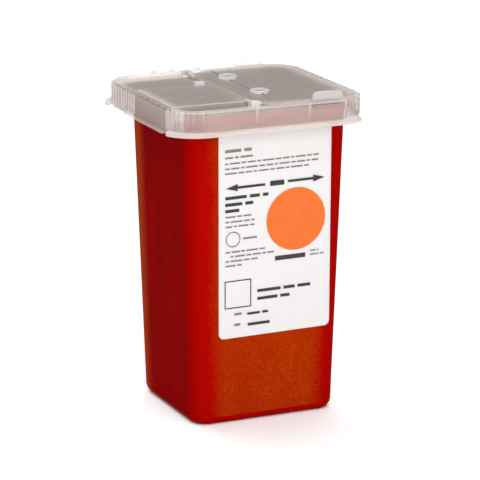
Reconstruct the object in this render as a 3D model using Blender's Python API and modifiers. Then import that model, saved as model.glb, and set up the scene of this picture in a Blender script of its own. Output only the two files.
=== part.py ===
"""Sharps container: a tapered box with a push-on lid and a hinged disposal flap.

Metres, +Z up. The origin is under the middle of the lid, on the surface the box stands on.
The front, which carries the label, faces -Y. The flap's hinge runs along Y.
"""

import math
from collections import namedtuple

import bmesh
import bpy
from mathutils import Matrix, Vector

# Gap kept between pieces that touch on the real object
GAP = 0.0003
# How far a joined shape sinks into the shape it grows from
SINK = 0.0002
# Straight steps in a quarter circle: large corners, and small fillets
CORNER_STEPS = 8
FILLET_STEPS = 4
ROUND_SIDES = 24

# Container body
BODY_HEIGHT = 0.1511
BODY_MOUTH_WIDTH = 0.0818
BODY_MOUTH_DEPTH = 0.0766
BODY_DRAFT = math.radians(1.58)
BODY_CORNER_RADIUS = 0.0090
BODY_WALL = 0.0014
BASE_FILLET = 0.0042
FOOT_WIDTH = 0.0060
FOOT_RECESS = 0.0006
RIM_OVERHANG = 0.0050
RIM_THICKNESS = 0.0022
RIM_EDGE = 0.0005
# The walls and label sit a little to the right of the rim and the lid
WALL_SHIFT = 0.0016

# Front label
LABEL_LEFT_MARGIN = 0.0155
LABEL_RIGHT_MARGIN = 0.0089
LABEL_BOTTOM = 0.0426
LABEL_TOP_MARGIN = 0.0004
LABEL_CORNER_RADIUS = 0.0026
LABEL_THICKNESS = 0.0002
LABEL_UPRIGHT_CUTS = 12
LABEL_LEVEL_CUTS = 8

# Lid skirt and deck
SKIRT_CLEARANCE = 0.0013
LID_CORNER_RADIUS = 0.0155
LID_WALL = 0.0015
LID_EDGE = 0.0006
SKIRT_DROP = 0.0085
DECK_THICKNESS = 0.0015
RIM_WALL_HEIGHT = 0.0017

# Pry lips round the foot of the skirt
LIP_REACH = 0.0036
LIP_THICKNESS = 0.0026
LIP_SIDE_ANGLE = math.radians(27)
LIP_FRONT_RIGHT_END = 0.0046
SIDE_LIP_REACH = 0.0016
SIDE_LIP_THICKNESS = 0.0020
SIDE_LIP_LENGTH = 0.0460

# Ribs, notches and small marks of the skirt
WALL_RIB_WIDTH = 0.0009
WALL_RIB_PROUD = 0.0005
WALL_RIB_TAB_GAP = 0.0019
WALL_RIB_HINGE_GAP = 0.0015
CORNER_RIBS = 8
CORNER_RIB_WIDTH = 0.0007
CORNER_RIB_SPREAD = math.radians(70)
NOTCH_WIDTH = 0.0026
NOTCH_DEPTH = 0.0011
NOTCH_PITCH = 0.0072
NOTCH_COUNT = 8
NOTCH_MIDDLE = -0.0056
BAR_LENGTH = 0.0080
BAR_HEIGHT = 0.0016
BAR_PROUD = 0.0004
BAR_PLACES = (-0.0284, 0.0030)
NUB_LENGTH = 0.0036
NUB_HEIGHT = 0.0010
NUB_PLACES = (-0.0229, -0.0130, 0.0001)
SNAP_LUG_LENGTH = 0.0120
SNAP_LUG_HEIGHT = 0.0022
SNAP_LUG_REACH = 0.0008
SNAP_LUG_SPACING = 0.0400

# Raised panel on the left of the deck, with a catch block on it
PANEL_FRONT_MARGIN = 0.0116
PANEL_REAR_MARGIN = 0.0366
PANEL_HINGE_GAP = 0.0019
PANEL_RISE = 0.0023
PANEL_CORNER_RADIUS = 0.0020
CATCH_LENGTH = 0.0046
CATCH_WIDTH = 0.0036
CATCH_HEIGHT = 0.0020
CATCH_SETBACK = 0.0062
CATCH_REAR_MARGIN = 0.0041

# Hinge of the flap
HINGE_X = -0.0077
HINGE_RISE = 0.0014
HINGE_KNUCKLE_RADIUS = 0.0011
HINGE_PIN_RADIUS = 0.0008
HINGE_KNUCKLE_LENGTH = 0.0065
HINGE_BLOCK_LENGTH = 0.0046
HINGE_BLOCK_WIDTH = 0.0040
HINGE_BLOCK_HEAD = 0.0016
HINGE_BLOCK_INSET = 0.0067
HINGE_BORE_FLOOR = 0.0008

# Disposal opening in the deck
OPENING_HINGE_MARGIN = 0.0053
OPENING_MOUTH_MARGIN = 0.0020
OPENING_CORNER_RADIUS = 0.0080

# Flap
FLAP_THICKNESS = 0.0015
FLAP_SIDE_GAP = 0.0011
FLAP_END_GAP = 0.0030
FLAP_CORNER_RADIUS = 0.0105
FLAP_BLOCK_CLEARANCE = 0.0009
SEAL_RIM_CLEARANCE = 0.0010
SEAL_RIM_WALL = 0.0012
SEAL_RIM_DROP = 0.0028
TAB_WIDTH = 0.0155
TAB_CORNER_LAP = 0.0016
TAB_TOP_RISE = 0.00415
TAB_THICKNESS = 0.0020
TAB_CORNER_RADIUS = 0.0026
TAB_SIDE_GAP = 0.0005
BOSS_HINGE_DISTANCE = 0.0124
BOSS_SPACING = 0.0368
BOSS_RADIUS = 0.0046
BOSS_HEIGHT = 0.0015
BOSS_DISH_RADIUS = 0.0033
BOSS_DISH_DEPTH = 0.0008

# Heights and half sizes that follow from the sizes above
DECK_UNDER = BODY_HEIGHT + GAP
DECK_TOP = DECK_UNDER + DECK_THICKNESS
LID_TOP = DECK_TOP + RIM_WALL_HEIGHT
SKIRT_BOTTOM = BODY_HEIGHT - SKIRT_DROP
SKIRT_OFFSET = RIM_OVERHANG + SKIRT_CLEARANCE + LID_WALL
LID_HALF_X = BODY_MOUTH_WIDTH / 2 + SKIRT_OFFSET
LID_HALF_Y = BODY_MOUTH_DEPTH / 2 + SKIRT_OFFSET
LABEL_LEFT = WALL_SHIFT - BODY_MOUTH_WIDTH / 2 + LABEL_LEFT_MARGIN
LABEL_RIGHT = WALL_SHIFT + BODY_MOUTH_WIDTH / 2 - LABEL_RIGHT_MARGIN
LABEL_TOP = SKIRT_BOTTOM - LABEL_TOP_MARGIN
PANEL_TOP = DECK_TOP + PANEL_RISE
PANEL_LEFT = LID_WALL - LID_HALF_X - SINK
PANEL_RIGHT = HINGE_X - PANEL_HINGE_GAP
PANEL_FRONT = PANEL_FRONT_MARGIN - LID_HALF_Y
PANEL_REAR = LID_HALF_Y - PANEL_REAR_MARGIN
CATCH_X = PANEL_RIGHT - CATCH_SETBACK
CATCH_Y = PANEL_REAR - CATCH_REAR_MARGIN
HINGE_Z = DECK_TOP + HINGE_RISE
FLAP_BOTTOM = DECK_TOP + GAP
FLAP_TOP = FLAP_BOTTOM + FLAP_THICKNESS
FLAP_RIGHT = LID_HALF_X - LID_WALL - FLAP_SIDE_GAP
FLAP_HALF_Y = LID_HALF_Y - LID_WALL - FLAP_END_GAP
TAB_TOP = LID_TOP + TAB_TOP_RISE
TAB_RIGHT = LID_HALF_X - LID_CORNER_RADIUS + TAB_CORNER_LAP
TAB_LEFT = TAB_RIGHT - TAB_WIDTH
WALL_RIB_PLACES = (HINGE_X - WALL_RIB_HINGE_GAP, TAB_LEFT - WALL_RIB_TAB_GAP)
OPENING_LEFT = HINGE_X + OPENING_HINGE_MARGIN
OPENING_RIGHT = WALL_SHIFT + BODY_MOUTH_WIDTH / 2 - BODY_WALL - OPENING_MOUTH_MARGIN
OPENING_HALF_Y = BODY_MOUTH_DEPTH / 2 - BODY_WALL - OPENING_MOUTH_MARGIN
BOSS_X = HINGE_X + BOSS_HINGE_DISTANCE
HINGE_BLOCK_MIDDLE = LID_HALF_Y - HINGE_BLOCK_INSET
HINGE_BLOCK_INNER = HINGE_BLOCK_MIDDLE - HINGE_BLOCK_WIDTH / 2
HINGE_BLOCK_OUTER = HINGE_BLOCK_MIDDLE + HINGE_BLOCK_WIDTH / 2

Section = namedtuple("Section", "half_x half_y radius z x y", defaults=(0.0, 0.0))


def clear_scene():
    """Remove whatever the open file holds."""
    for item in list(bpy.data.objects):
        bpy.data.objects.remove(item, do_unlink=True)


def new_collection(name):
    """Make a collection and link it to the scene."""
    collection = bpy.data.collections.new(name)
    bpy.context.scene.collection.children.link(collection)
    return collection


def plastic(name, colour, roughness, alpha=1.0):
    """A Principled material of one colour."""
    material = bpy.data.materials.new(name)
    material.use_nodes = True
    shader = material.node_tree.nodes["Principled BSDF"]
    shader.inputs["Base Color"].default_value = (*colour, 1.0)
    shader.inputs["Roughness"].default_value = roughness
    shader.inputs["Metallic"].default_value = 0.0
    shader.inputs["Alpha"].default_value = alpha
    material.diffuse_color = (*colour, alpha)
    return material


def finish(name, shape, collection, material=None, smooth_angle=math.radians(30)):
    """Turn a bmesh into a named object with outward faces."""
    bmesh.ops.recalc_face_normals(shape, faces=shape.faces)
    mesh = bpy.data.meshes.new(name)
    shape.to_mesh(mesh)
    shape.free()
    mesh.shade_smooth()
    mesh.set_sharp_from_angle(angle=smooth_angle)
    item = bpy.data.objects.new(name, mesh)
    collection.objects.link(item)
    if material:
        mesh.materials.append(material)
    return item


def helper(name, shape):
    """A shape that only cuts or joins another one."""
    item = finish(name, shape, HELPERS)
    item.hide_render = True
    item.display_type = 'WIRE'
    return item


def combine(target, other, operation):
    """Add a Boolean of one helper to a piece."""
    modifier = target.modifiers.new(other.name, 'BOOLEAN')
    modifier.operation = operation
    modifier.solver = 'EXACT'
    modifier.object = other


def outline(section):
    """Points of a rounded rectangle, anticlockwise from the +X side."""
    points = []
    corners = ((1, 1), (-1, 1), (-1, -1), (1, -1))
    for quarter, (side_x, side_y) in enumerate(corners):
        centre_x = section.x + side_x * (section.half_x - section.radius)
        centre_y = section.y + side_y * (section.half_y - section.radius)
        for step in range(CORNER_STEPS + 1):
            angle = math.pi / 2 * (quarter + step / CORNER_STEPS)
            x = centre_x + section.radius * math.cos(angle)
            y = centre_y + section.radius * math.sin(angle)
            points.append(Vector((x, y, section.z)))
    return points


def loft(shape, sections):
    """Add a closed solid that runs through rounded rectangles and is capped at both ends."""
    rings = []
    for section in sections:
        rings.append([shape.verts.new(point) for point in outline(section)])
    count = len(rings[0])
    for low, high in zip(rings, rings[1:]):
        for index in range(count):
            after = (index + 1) % count
            shape.faces.new((low[index], low[after], high[after], high[index]))
    shape.faces.new(rings[0])
    shape.faces.new(rings[-1])


def box(shape, low, high):
    """Add a box between two corners."""
    low, high = Vector(low), Vector(high)
    size = high - low
    place = Matrix.Translation((low + high) / 2) @ Matrix.Diagonal((*size, 1.0))
    return bmesh.ops.create_cube(shape, size=1.0, matrix=place)["verts"]


def rod_along_y(shape, x, z, start, end, radius):
    """Add a round rod that lies along Y."""
    place = Matrix.Translation((x, (start + end) / 2, z)) @ Matrix.Rotation(math.pi / 2, 4, 'X')
    bmesh.ops.create_cone(shape, cap_ends=True, segments=ROUND_SIDES, radius1=radius,
                          radius2=radius, depth=end - start, matrix=place)


def post(shape, x, y, bottom, top, radius):
    """Add an upright round post."""
    place = Matrix.Translation((x, y, (bottom + top) / 2))
    bmesh.ops.create_cone(shape, cap_ends=True, segments=ROUND_SIDES, radius1=radius,
                          radius2=radius, depth=top - bottom, matrix=place)


def body_half(z):
    """Outer half width and half depth of the body's wall at a height."""
    shrink = (BODY_HEIGHT - z) * math.tan(BODY_DRAFT)
    return BODY_MOUTH_WIDTH / 2 - shrink, BODY_MOUTH_DEPTH / 2 - shrink


def body_section(z, offset=0.0):
    """Section of the body at a height, grown outwards by an offset."""
    half_x, half_y = body_half(z)
    radius = BODY_CORNER_RADIUS + offset
    return Section(half_x + offset, half_y + offset, radius, z, WALL_SHIFT)


def fillet_sections(z_start, radius, offset, rising):
    """Sections of a rounded edge between a flat bottom and an upright wall."""
    sections = []
    for step in range(FILLET_STEPS + 1):
        share = step / FILLET_STEPS if rising else 1 - step / FILLET_STEPS
        angle = math.pi / 2 * share
        inset = radius * (1 - math.sin(angle))
        height = z_start + radius * (1 - math.cos(angle))
        sections.append(body_section(height, offset - inset))
    return sections


def make_body():
    """The red box: foot, drafted walls, rim flange and hollow inside, as one loft."""
    floor = BODY_WALL + FOOT_RECESS
    rim_bottom = BODY_HEIGHT - RIM_THICKNESS
    foot_inset = -(BASE_FILLET + FOOT_WIDTH)
    foot_edge = body_section(0.0, foot_inset)
    sections = [foot_edge._replace(z=FOOT_RECESS), foot_edge]
    sections += fillet_sections(0.0, BASE_FILLET, 0.0, rising=True)
    sections.append(body_section(rim_bottom))
    rim = [
        body_section(rim_bottom, RIM_OVERHANG - RIM_EDGE),
        body_section(rim_bottom + RIM_EDGE, RIM_OVERHANG),
        body_section(BODY_HEIGHT - RIM_EDGE, RIM_OVERHANG),
        body_section(BODY_HEIGHT, RIM_OVERHANG - RIM_EDGE),
    ]
    sections += [section._replace(x=0.0) for section in rim]
    sections.append(body_section(BODY_HEIGHT, -BODY_WALL))
    sections += fillet_sections(floor, BASE_FILLET, -BODY_WALL, rising=False)
    shape = bmesh.new()
    loft(shape, sections)
    red = plastic("red polypropylene", (0.42, 0.012, 0.004), 0.38)
    return finish("container_body", shape, PARTS, red)


def front_surface(x, z):
    """Y of the body's outer front wall, rounded corners included."""
    half_x, half_y = body_half(z)
    past_flat = max(0.0, abs(x - WALL_SHIFT) - (half_x - BODY_CORNER_RADIUS))
    return -(half_y - BODY_CORNER_RADIUS + math.sqrt(BODY_CORNER_RADIUS ** 2 - past_flat ** 2))


def make_label():
    """The sticker: a rounded sheet cut into strips and laid on the front wall."""
    half_width = (LABEL_RIGHT - LABEL_LEFT) / 2
    half_height = (LABEL_TOP - LABEL_BOTTOM) / 2
    sheet = Section(half_width, half_height, LABEL_CORNER_RADIUS, 0.0,
                    LABEL_LEFT + half_width, LABEL_BOTTOM + half_height)
    shape = bmesh.new()
    shape.faces.new([shape.verts.new(point) for point in outline(sheet)])
    bend_start = WALL_SHIFT + body_half(LABEL_BOTTOM)[0] - BODY_CORNER_RADIUS
    for cut in range(LABEL_UPRIGHT_CUTS):
        place = bend_start + (LABEL_RIGHT - bend_start) * cut / LABEL_UPRIGHT_CUTS
        slice_sheet(shape, Vector((place, 0, 0)), Vector((1, 0, 0)))
    for cut in range(1, LABEL_LEVEL_CUTS):
        place = LABEL_BOTTOM + 2 * half_height * cut / LABEL_LEVEL_CUTS
        slice_sheet(shape, Vector((0, place, 0)), Vector((0, 1, 0)))
    for corner in shape.verts:
        x, z = corner.co.x, corner.co.y
        corner.co = Vector((x, front_surface(x, z) - GAP, z))
    white = plastic("white label film", (0.88, 0.87, 0.86), 0.45)
    label = finish("front_label", shape, PARTS, white)
    if label.data.polygons[0].normal.y > 0:
        label.data.flip_normals()
    thicken = label.modifiers.new("film", 'SOLIDIFY')
    thicken.thickness = LABEL_THICKNESS
    thicken.offset = 1.0
    return label


def slice_sheet(shape, place, normal):
    """Cut every face of a sheet along a plane."""
    geometry = shape.verts[:] + shape.edges[:] + shape.faces[:]
    bmesh.ops.bisect_plane(shape, geom=geometry, plane_co=place, plane_no=normal)


def lid_section(z, inset=0.0):
    """Section of the lid's skirt at a height, shrunk by an inset."""
    return Section(LID_HALF_X - inset, LID_HALF_Y - inset, LID_CORNER_RADIUS - inset, z)


def make_lid_shell():
    """Skirt, deck and the low wall round the deck, as one loft from the underside out."""
    sections = [
        lid_section(DECK_UNDER, LID_WALL),
        lid_section(SKIRT_BOTTOM, LID_WALL),
        lid_section(SKIRT_BOTTOM),
        lid_section(LID_TOP - LID_EDGE),
        lid_section(LID_TOP, LID_EDGE),
        lid_section(LID_TOP, LID_WALL),
        lid_section(DECK_TOP, LID_WALL),
    ]
    shape = bmesh.new()
    loft(shape, sections)
    clear = plastic("translucent polypropylene lid", (0.72, 0.66, 0.64), 0.35, 0.55)
    return finish("lid_frame", shape, PARTS, clear)


def end_lips():
    """Pry lips along the front and rear of the skirt, wrapped round all corners but the front right."""
    shape = bmesh.new()
    bottom = SKIRT_BOTTOM
    edge = LIP_THICKNESS / 4
    loft(shape, [
        lid_section(bottom, -LIP_REACH + edge),
        lid_section(bottom + edge, -LIP_REACH),
        lid_section(bottom + LIP_THICKNESS - edge, -LIP_REACH),
        lid_section(bottom + LIP_THICKNESS, -LIP_REACH + edge),
    ])
    lips = helper("end_lips", shape)
    reach = 2 * LID_HALF_X
    lip_end = LID_HALF_Y - LID_CORNER_RADIUS * (1 - math.sin(LIP_SIDE_ANGLE))
    middle = bmesh.new()
    box(middle, (-reach, -lip_end, 0.0), (reach, lip_end, LID_TOP))
    combine(lips, helper("end_lips_middle", middle), 'DIFFERENCE')
    right = bmesh.new()
    box(right, (LID_HALF_X - LIP_FRONT_RIGHT_END, -reach, 0.0), (reach, 0.0, LID_TOP))
    combine(lips, helper("end_lips_right", right), 'DIFFERENCE')
    hollow = bmesh.new()
    loft(hollow, [lid_section(0.0, SINK), lid_section(LID_TOP, SINK)])
    combine(lips, helper("end_lips_hollow", hollow), 'DIFFERENCE')
    return lips


def side_lips(shape):
    """Low lips on the left and right walls."""
    bottom = SKIRT_BOTTOM
    front = LID_CORNER_RADIUS - LID_HALF_Y
    for side in (-1, 1):
        inner = side * (LID_HALF_X - SINK)
        outer = side * (LID_HALF_X + SIDE_LIP_REACH)
        box(shape, (min(inner, outer), front, bottom),
            (max(inner, outer), front + SIDE_LIP_LENGTH, bottom + SIDE_LIP_THICKNESS))


def wall_ribs(shape):
    """Upright ribs on the front and rear walls and round the corners."""
    bottom = SKIRT_BOTTOM + LIP_THICKNESS - SINK
    top = LID_TOP - LID_EDGE
    half = WALL_RIB_WIDTH / 2
    for side in (-1, 1):
        inner = side * (LID_HALF_Y - LID_WALL / 2)
        outer = side * (LID_HALF_Y + WALL_RIB_PROUD)
        for place in WALL_RIB_PLACES:
            box(shape, (place - half, min(inner, outer), bottom),
                (place + half, max(inner, outer), top))
    for side_x in (-1, 1):
        for side_y in (-1, 1):
            for index in range(CORNER_RIBS):
                share = index / (CORNER_RIBS - 1) - 0.5
                angle = math.pi / 4 + CORNER_RIB_SPREAD * share
                corner_rib(shape, side_x, side_y, angle, bottom, top)


def corner_rib(shape, side_x, side_y, angle, bottom, top):
    """One upright rib on a rounded corner of the skirt."""
    start = LID_CORNER_RADIUS - 2 * SINK
    end = LID_CORNER_RADIUS + WALL_RIB_PROUD
    half = CORNER_RIB_WIDTH / 2
    verts = box(shape, (start, -half, bottom), (end, half, top))
    heading = math.atan2(side_y * math.sin(angle), side_x * math.cos(angle))
    centre = Vector((side_x * (LID_HALF_X - LID_CORNER_RADIUS),
                     side_y * (LID_HALF_Y - LID_CORNER_RADIUS), 0.0))
    turn = Matrix.Translation(centre) @ Matrix.Rotation(heading, 4, 'Z')
    bmesh.ops.transform(shape, matrix=turn, verts=verts)


def rim_marks(shape):
    """Short bars on the front wall and small nubs on the rear rim."""
    bar_top = LID_TOP - LID_EDGE
    for place in BAR_PLACES:
        box(shape, (place - BAR_LENGTH / 2, -LID_HALF_Y - BAR_PROUD, bar_top - BAR_HEIGHT),
            (place + BAR_LENGTH / 2, -LID_HALF_Y + SINK, bar_top))
    for place in NUB_PLACES:
        box(shape, (place - NUB_LENGTH / 2, LID_HALF_Y - LID_WALL + SINK, LID_TOP - SINK),
            (place + NUB_LENGTH / 2, LID_HALF_Y - LID_EDGE - SINK, LID_TOP + NUB_HEIGHT))


def snap_lugs(shape):
    """Lugs inside the front and rear of the skirt, below the body's rim flange."""
    top = BODY_HEIGHT - RIM_THICKNESS - GAP
    bottom = top - SNAP_LUG_HEIGHT
    half = SNAP_LUG_LENGTH / 2
    inner_y = LID_HALF_Y - LID_WALL
    for side in (-1, 1):
        near = side * (inner_y - SNAP_LUG_REACH)
        far = side * (inner_y + SINK)
        for place in (-SNAP_LUG_SPACING / 2, SNAP_LUG_SPACING / 2):
            box(shape, (place - half, min(near, far), bottom), (place + half, max(near, far), top))


def panel_section(z, inset=0.0):
    """Section of the raised left panel at a height, shrunk by an inset."""
    half_x = (PANEL_RIGHT - PANEL_LEFT) / 2
    half_y = (PANEL_REAR - PANEL_FRONT) / 2
    return Section(half_x - inset, half_y - inset, PANEL_CORNER_RADIUS - inset, z,
                   PANEL_LEFT + half_x, PANEL_FRONT + half_y)


def make_panel():
    """Raised left panel with its catch block, still solid underneath."""
    shape = bmesh.new()
    loft(shape, [
        panel_section(DECK_TOP - SINK),
        panel_section(PANEL_TOP - LID_EDGE),
        panel_section(PANEL_TOP, LID_EDGE),
    ])
    panel = helper("panel", shape)
    catch = bmesh.new()
    box(catch, (CATCH_X - CATCH_LENGTH / 2, CATCH_Y - CATCH_WIDTH / 2, PANEL_TOP - SINK),
        (CATCH_X + CATCH_LENGTH / 2, CATCH_Y + CATCH_WIDTH / 2, PANEL_TOP + CATCH_HEIGHT))
    combine(panel, helper("catch_block", catch), 'UNION')
    return panel


def panel_hollow(shape):
    """Room under the raised panel, which leaves it one wall thick."""
    loft(shape, [
        panel_section(DECK_UNDER - LID_WALL, LID_WALL),
        panel_section(PANEL_TOP - LID_WALL, LID_WALL),
    ])


def hinge_blocks(shape):
    """The two blocks that hold the flap's pins."""
    for side in (-1, 1):
        ends = sorted((side * HINGE_BLOCK_INNER, side * HINGE_BLOCK_OUTER))
        box(shape, (HINGE_X - HINGE_BLOCK_LENGTH / 2, ends[0], DECK_TOP - SINK),
            (HINGE_X + HINGE_BLOCK_LENGTH / 2, ends[1], HINGE_Z + HINGE_BLOCK_HEAD))


def hinge_bores(shape):
    """Blind bores in the hinge blocks, open towards the flap."""
    for side in (-1, 1):
        mouth = side * (HINGE_BLOCK_INNER - GAP)
        floor = side * (HINGE_BLOCK_OUTER - HINGE_BORE_FLOOR)
        start, end = sorted((mouth, floor))
        rod_along_y(shape, HINGE_X, HINGE_Z, start, end, HINGE_PIN_RADIUS + GAP)


def rim_gaps(shape):
    """Notches in the left rim, and the gaps in the rim that the finger tabs stand in."""
    for index in range(NOTCH_COUNT):
        middle = NOTCH_MIDDLE + NOTCH_PITCH * (index - (NOTCH_COUNT - 1) / 2)
        box(shape, (-LID_HALF_X - LID_WALL, middle - NOTCH_WIDTH / 2, LID_TOP - NOTCH_DEPTH),
            (-LID_HALF_X + LID_WALL + SINK, middle + NOTCH_WIDTH / 2, LID_TOP + LID_WALL))
    for side in (-1, 1):
        near = side * (LID_HALF_Y - TAB_THICKNESS - TAB_SIDE_GAP)
        far = side * (LID_HALF_Y + LID_WALL)
        box(shape, (TAB_LEFT - TAB_SIDE_GAP, min(near, far), DECK_TOP),
            (TAB_RIGHT + TAB_SIDE_GAP, max(near, far), LID_TOP + LID_WALL))


def opening_section(z, inset=0.0):
    """Section of the disposal opening at a height, shrunk by an inset."""
    half_x = (OPENING_RIGHT - OPENING_LEFT) / 2
    return Section(half_x - inset, OPENING_HALF_Y - inset, OPENING_CORNER_RADIUS - inset, z,
                   (OPENING_RIGHT + OPENING_LEFT) / 2, 0.0)


def deck_opening(shape):
    """The disposal opening, cut right through the deck."""
    loft(shape, [opening_section(DECK_UNDER - LID_WALL), opening_section(LID_TOP)])


def make_lid():
    """The push-on lid, joined and cut from its features."""
    lid = make_lid_shell()
    combine(lid, end_lips(), 'UNION')
    combine(lid, make_panel(), 'UNION')
    for add in (side_lips, wall_ribs, rim_marks, snap_lugs, hinge_blocks):
        shape = bmesh.new()
        add(shape)
        combine(lid, helper(add.__name__, shape), 'UNION')
    for cut in (panel_hollow, deck_opening, hinge_bores, rim_gaps):
        shape = bmesh.new()
        cut(shape)
        combine(lid, helper(cut.__name__, shape), 'DIFFERENCE')
    return lid


def flap_plate(shape):
    """The flat door, rounded at its corners."""
    left = HINGE_X + HINGE_BLOCK_LENGTH / 2 + FLAP_BLOCK_CLEARANCE
    half_x = (FLAP_RIGHT - left) / 2
    low = Section(half_x, FLAP_HALF_Y, FLAP_CORNER_RADIUS, FLAP_BOTTOM, left + half_x)
    loft(shape, [low, low._replace(z=FLAP_TOP)])


def finger_tabs():
    """Upright tabs at the front and rear of the flap, with rounded top corners."""
    shape = bmesh.new()
    for side in (-1, 1):
        near, far = sorted((side * LID_HALF_Y, side * (LID_HALF_Y - TAB_THICKNESS)))
        box(shape, (TAB_LEFT, near, FLAP_BOTTOM), (TAB_RIGHT, far, TAB_TOP))
    top_edges = []
    for edge in shape.edges:
        along = edge.verts[1].co - edge.verts[0].co
        if abs(along.y) > TAB_THICKNESS / 2 and edge.verts[0].co.z > FLAP_TOP:
            top_edges.append(edge)
    bmesh.ops.bevel(shape, geom=top_edges, offset=TAB_CORNER_RADIUS, segments=FILLET_STEPS,
                    profile=0.5, affect='EDGES', material=-1)
    return helper("finger_tabs", shape)


def tab_bridges(shape):
    """Strips that carry the finger tabs out from the door."""
    for side in (-1, 1):
        near = side * (FLAP_HALF_Y - SINK)
        far = side * (LID_HALF_Y - TAB_THICKNESS + SINK)
        box(shape, (TAB_LEFT, min(near, far), FLAP_BOTTOM), (TAB_RIGHT, max(near, far), FLAP_TOP))


def hinge_web(shape):
    """Strip between the door and the hinge axis."""
    half_length = HINGE_BLOCK_INNER - GAP
    box(shape, (HINGE_X, -half_length, FLAP_BOTTOM), (OPENING_LEFT, half_length, FLAP_TOP))


def hinge_knuckles(shape):
    """Two short round knuckles on the hinge axis, one beside each hinge block."""
    end = HINGE_BLOCK_INNER - GAP
    for side in (-1, 1):
        near, far = sorted((side * end, side * (end - HINGE_KNUCKLE_LENGTH)))
        rod_along_y(shape, HINGE_X, HINGE_Z, near, far, HINGE_KNUCKLE_RADIUS)


def hinge_pins(shape):
    """The pins at the outer ends of the knuckles, which turn in the hinge blocks."""
    root = HINGE_BLOCK_INNER - GAP - HINGE_KNUCKLE_LENGTH / 2
    end = HINGE_BLOCK_OUTER - HINGE_BORE_FLOOR - GAP
    for side in (-1, 1):
        near, far = sorted((side * root, side * end))
        rod_along_y(shape, HINGE_X, HINGE_Z, near, far, HINGE_PIN_RADIUS)


def seal_rim(shape):
    """Rim under the door that drops into the disposal opening."""
    inner = SEAL_RIM_CLEARANCE + SEAL_RIM_WALL
    bottom = FLAP_BOTTOM - SEAL_RIM_DROP
    loft(shape, [
        opening_section(FLAP_BOTTOM + SINK, SEAL_RIM_CLEARANCE),
        opening_section(bottom, SEAL_RIM_CLEARANCE),
        opening_section(bottom, inner),
        opening_section(FLAP_BOTTOM - SINK, inner),
    ])


def bosses(shape):
    """Two round bosses on top of the door."""
    for side in (-1, 1):
        post(shape, BOSS_X, side * BOSS_SPACING / 2, FLAP_TOP - SINK, FLAP_TOP + BOSS_HEIGHT,
             BOSS_RADIUS)


def boss_dishes(shape):
    """Hollows in the tops of the bosses."""
    top = FLAP_TOP + BOSS_HEIGHT
    for side in (-1, 1):
        post(shape, BOSS_X, side * BOSS_SPACING / 2, top - BOSS_DISH_DEPTH, top + BOSS_DISH_DEPTH,
             BOSS_DISH_RADIUS)


def make_flap():
    """The hinged door: plate, knuckles and pins, sealing rim, bosses and finger tabs."""
    plate = bmesh.new()
    flap_plate(plate)
    clear = plastic("translucent polypropylene flap", (0.70, 0.63, 0.60), 0.32, 0.50)
    flap = finish("disposal_flap", plate, PARTS, clear)
    for add in (hinge_web, hinge_knuckles, hinge_pins, seal_rim, tab_bridges, bosses):
        shape = bmesh.new()
        add(shape)
        combine(flap, helper(add.__name__, shape), 'UNION')
    combine(flap, finger_tabs(), 'UNION')
    dishes = bmesh.new()
    boss_dishes(dishes)
    combine(flap, helper("boss_dishes", dishes), 'DIFFERENCE')
    return flap


def put_origin_on_hinge(item):
    """Move a piece's origin to the hinge axis and leave the piece where it is."""
    axis = Vector((HINGE_X, 0.0, HINGE_Z))
    item.data.transform(Matrix.Translation(-axis))
    item.location = axis


clear_scene()
PARTS = new_collection("sharps_container")
HELPERS = new_collection("sharps_container_helpers")
make_body()
make_label()
make_lid()
put_origin_on_hinge(make_flap())
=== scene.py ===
# %% [markdown]
# # A small sharps container, dressed for its portrait
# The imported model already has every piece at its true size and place. This lesson keeps those
# sizes and gives each piece what a camera notices: soft moulded edges, the cloudy look of
# natural polypropylene, a stuck-on label, and plain studio light.

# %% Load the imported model
import math

import bmesh
import bpy
from mathutils import Matrix, Vector


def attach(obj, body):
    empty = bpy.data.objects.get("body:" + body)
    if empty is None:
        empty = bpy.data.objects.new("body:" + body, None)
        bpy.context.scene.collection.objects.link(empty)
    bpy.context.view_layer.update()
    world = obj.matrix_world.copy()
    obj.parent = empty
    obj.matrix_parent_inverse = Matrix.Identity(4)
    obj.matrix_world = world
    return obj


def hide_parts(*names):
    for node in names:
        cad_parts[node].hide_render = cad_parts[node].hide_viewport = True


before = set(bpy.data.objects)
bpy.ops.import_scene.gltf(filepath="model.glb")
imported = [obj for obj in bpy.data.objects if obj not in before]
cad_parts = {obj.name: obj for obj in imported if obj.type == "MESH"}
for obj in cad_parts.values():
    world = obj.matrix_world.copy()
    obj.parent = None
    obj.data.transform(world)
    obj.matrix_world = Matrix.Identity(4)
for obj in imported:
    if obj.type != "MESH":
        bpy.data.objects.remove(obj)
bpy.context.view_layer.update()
MM = 0.001
print("CAD nodes:", sorted(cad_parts))

# %% [markdown]
# ## Colours and nodes
# Colours are written as the hex values that a paint program shows. Blender's shaders want linear
# light, so one function turns them. One more small function adds a node, sets its values and links
# its inputs, which keeps each material down to the few lines that say what the material is. The last
# helper measures how far a point lies outside a box, for finishes that change near an outline.


# %% Helpers for materials
def linear(hex_colour):
    """Linear RGBA of an sRGB hex colour."""
    channels = [int(hex_colour[place:place + 2], 16) / 255 for place in (1, 3, 5)]
    lin = [c / 12.92 if c <= 0.04045 else ((c + 0.055) / 1.055) ** 2.4 for c in channels]
    return (*lin, 1.0)


def add_node(tree, kind, inputs=None, **settings):
    """Add a node; an input that is an output socket is linked, any other value is set."""
    node = tree.nodes.new(kind)
    for name, value in settings.items():
        setattr(node, name, value)
    for name, value in (inputs or {}).items():
        if isinstance(value, bpy.types.NodeSocket):
            tree.links.new(value, node.inputs[name])
        else:
            node.inputs[name].default_value = value
    return node


def new_material(name):
    """An empty node material with its tree and its Principled shader."""
    material = bpy.data.materials.new(name)
    material.use_nodes = True
    tree = material.node_tree
    return material, tree, tree.nodes["Principled BSDF"]


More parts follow.
